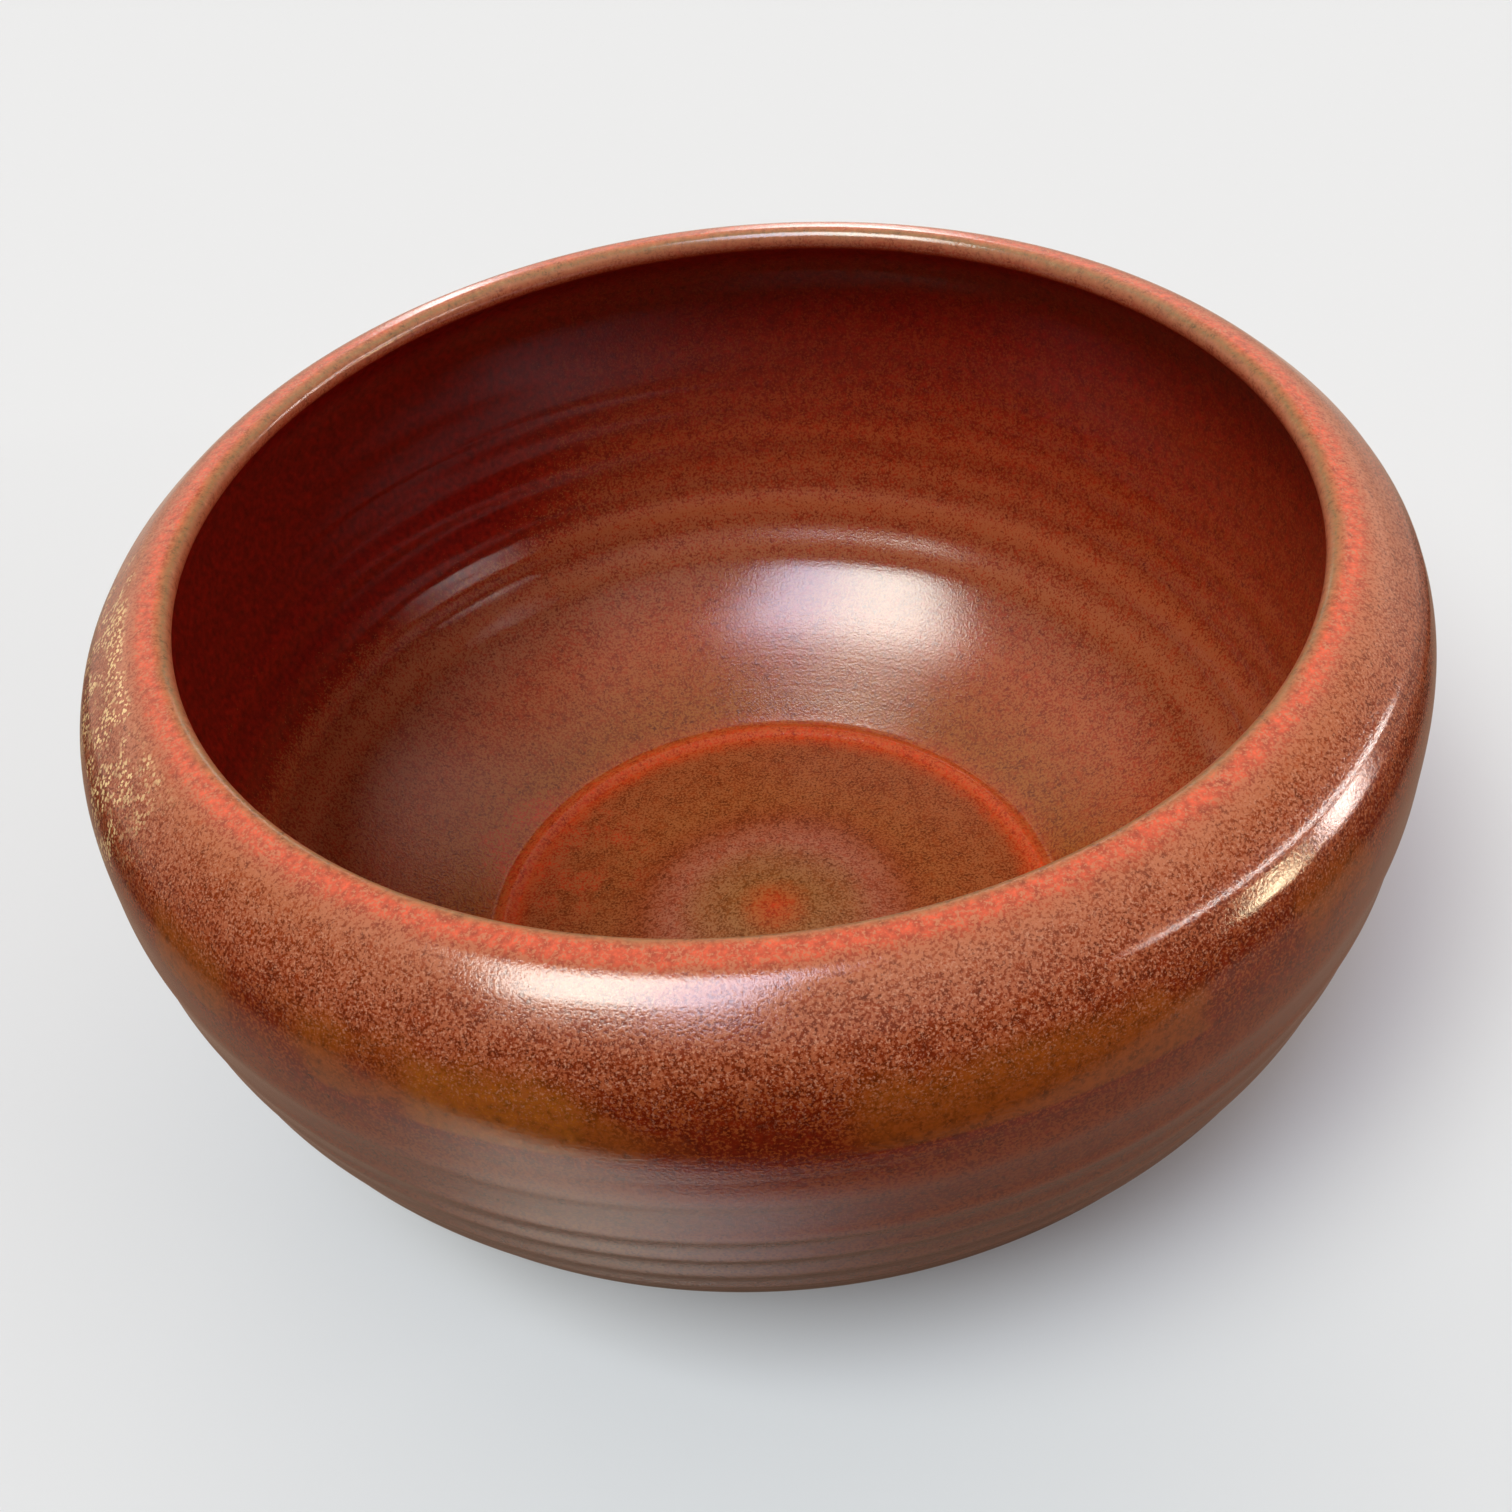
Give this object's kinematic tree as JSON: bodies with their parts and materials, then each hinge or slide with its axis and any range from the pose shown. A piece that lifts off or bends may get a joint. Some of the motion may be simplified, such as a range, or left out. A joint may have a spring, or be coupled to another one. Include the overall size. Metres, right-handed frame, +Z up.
{
  "type": "bowl",
  "caption": "Wheel-thrown ceramic bowl with a closed-in shoulder, a full-round lip and a turned foot ring, glazed inside and out, for serving or display.",
  "frame": {"origin": "on the bowl's axis, in the plane that its foot ring rests on", "axes": "+Z up along the axis that the bowl was thrown round; +X to the right and -Y to the front of the picture"},
  "size_m": [0.25, 0.25, 0.1213],
  "materials": {
    "bare_clay": "unglazed fired stoneware, turned",
    "inside_glaze": "satin gloss iron red, mottled",
    "outside_glaze": "satin gloss iron red, mottled, breaking orange and khaki on the lip"
  },
  "bodies": {
    "root": {"clay_body": "bare_clay", "glaze_inside": "inside_glaze", "glaze_outside": "outside_glaze"}
  },
  "joints": []
}
